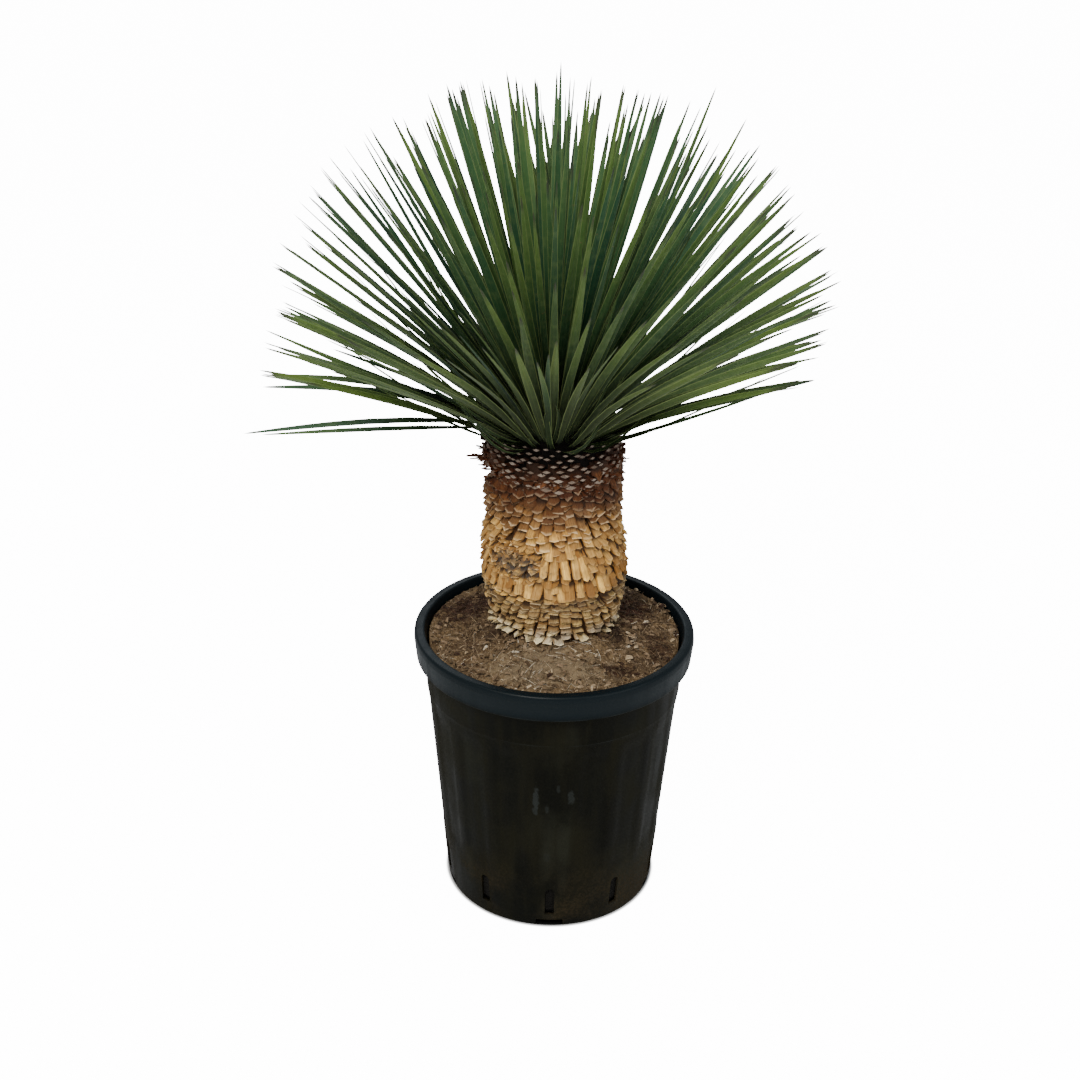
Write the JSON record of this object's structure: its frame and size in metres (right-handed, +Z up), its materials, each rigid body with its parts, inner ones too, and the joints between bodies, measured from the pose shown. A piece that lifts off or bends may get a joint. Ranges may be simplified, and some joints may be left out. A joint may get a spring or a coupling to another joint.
{
  "type": "potted beaked yucca",
  "caption": "Dense ball of narrow pointed leaves on a stout trunk clad in dry leaf bases, standing in a soil-filled tapered nursery pot with a rolled rim.",
  "frame": {"origin": "on the ground under the middle of the pot", "axes": "+Z up along the trunk; -Y towards the viewer of the picture, +X to the viewer's right"},
  "size_m": [0.8998, 0.8584, 1.3097],
  "materials": {
    "pot_plastic": "black injection-moulded plastic, satin, dusty low down",
    "soil": "dry peaty potting soil with chaff and bark",
    "dry_leaf_bases": "straw-coloured fibrous leaf bases",
    "cut_leaf_stubs": "dark brown stubs with pale cut ends",
    "old_leaves": "waxy leaf, olive green",
    "grown_leaves": "waxy leaf, blue-green with yellow margins",
    "young_leaves": "waxy leaf, fresh green"
  },
  "bodies": {
    "root": {"nursery_pot": "pot_plastic", "potting_soil": "soil", "trunk": "dry_leaf_bases", "cut_stub_collar": "cut_leaf_stubs", "outer_leaves": "old_leaves", "middle_leaves": "grown_leaves", "heart_leaves": "young_leaves"}
  },
  "joints": []
}
